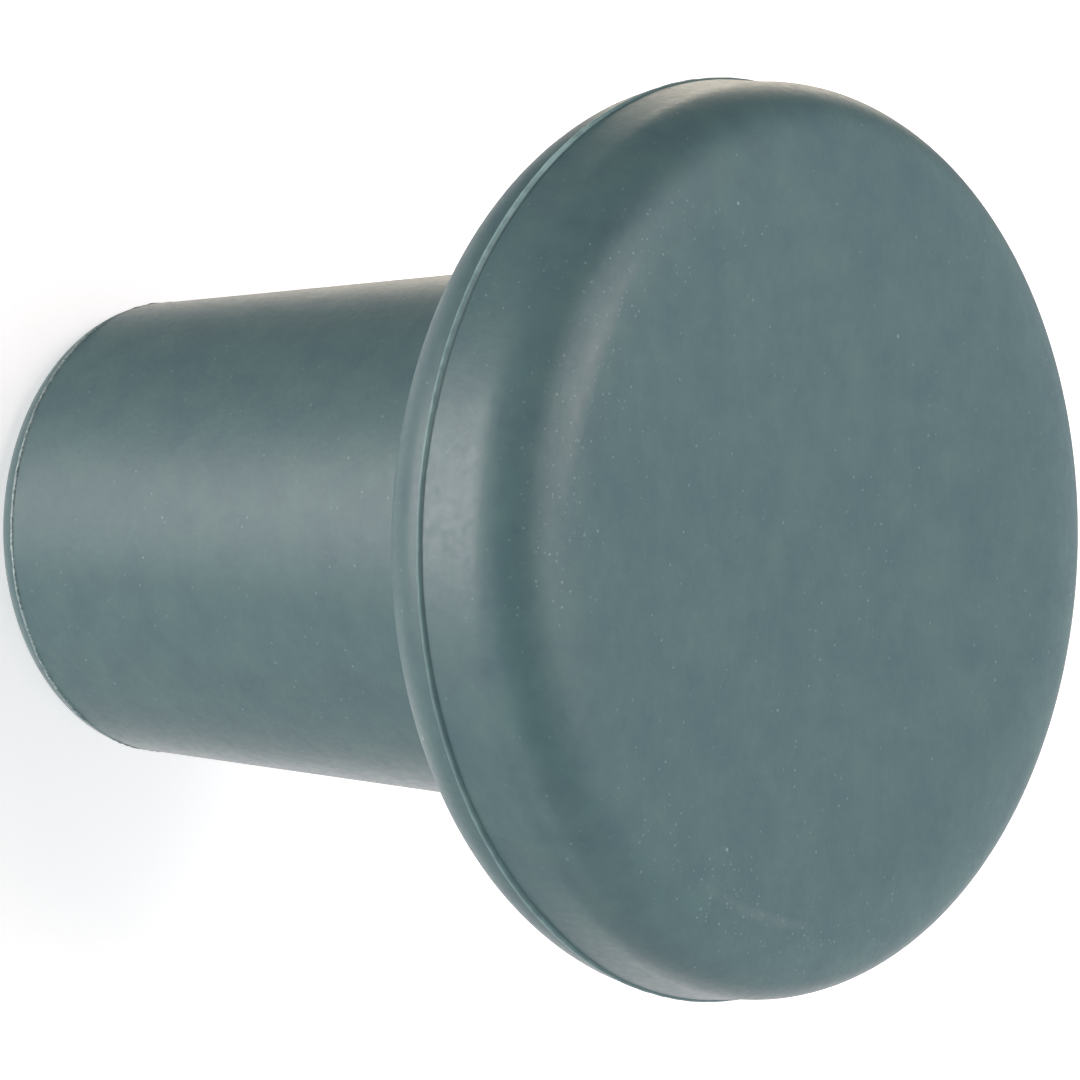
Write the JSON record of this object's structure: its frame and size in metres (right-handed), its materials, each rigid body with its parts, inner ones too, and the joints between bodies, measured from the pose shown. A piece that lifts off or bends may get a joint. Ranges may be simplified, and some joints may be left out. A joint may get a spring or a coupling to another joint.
{
  "type": "bottle stopper",
  "caption": "Mushroom-shaped bottle stopper moulded in silicone: a tapered plug stem under a thick round head with a soft shoulder and a flat face.",
  "frame": {"origin": "centre of the stem's flat end face, which the stopper stands on", "axes": "+Z along the stopper's axis, from the stem's end towards the head's flat face; X and Y are any two directions across it, because the form is round"},
  "size_m": [0.0348, 0.0348, 0.0351],
  "materials": {
    "silicone": "satin"
  },
  "bodies": {
    "root": {"stopper": "silicone"}
  },
  "joints": []
}
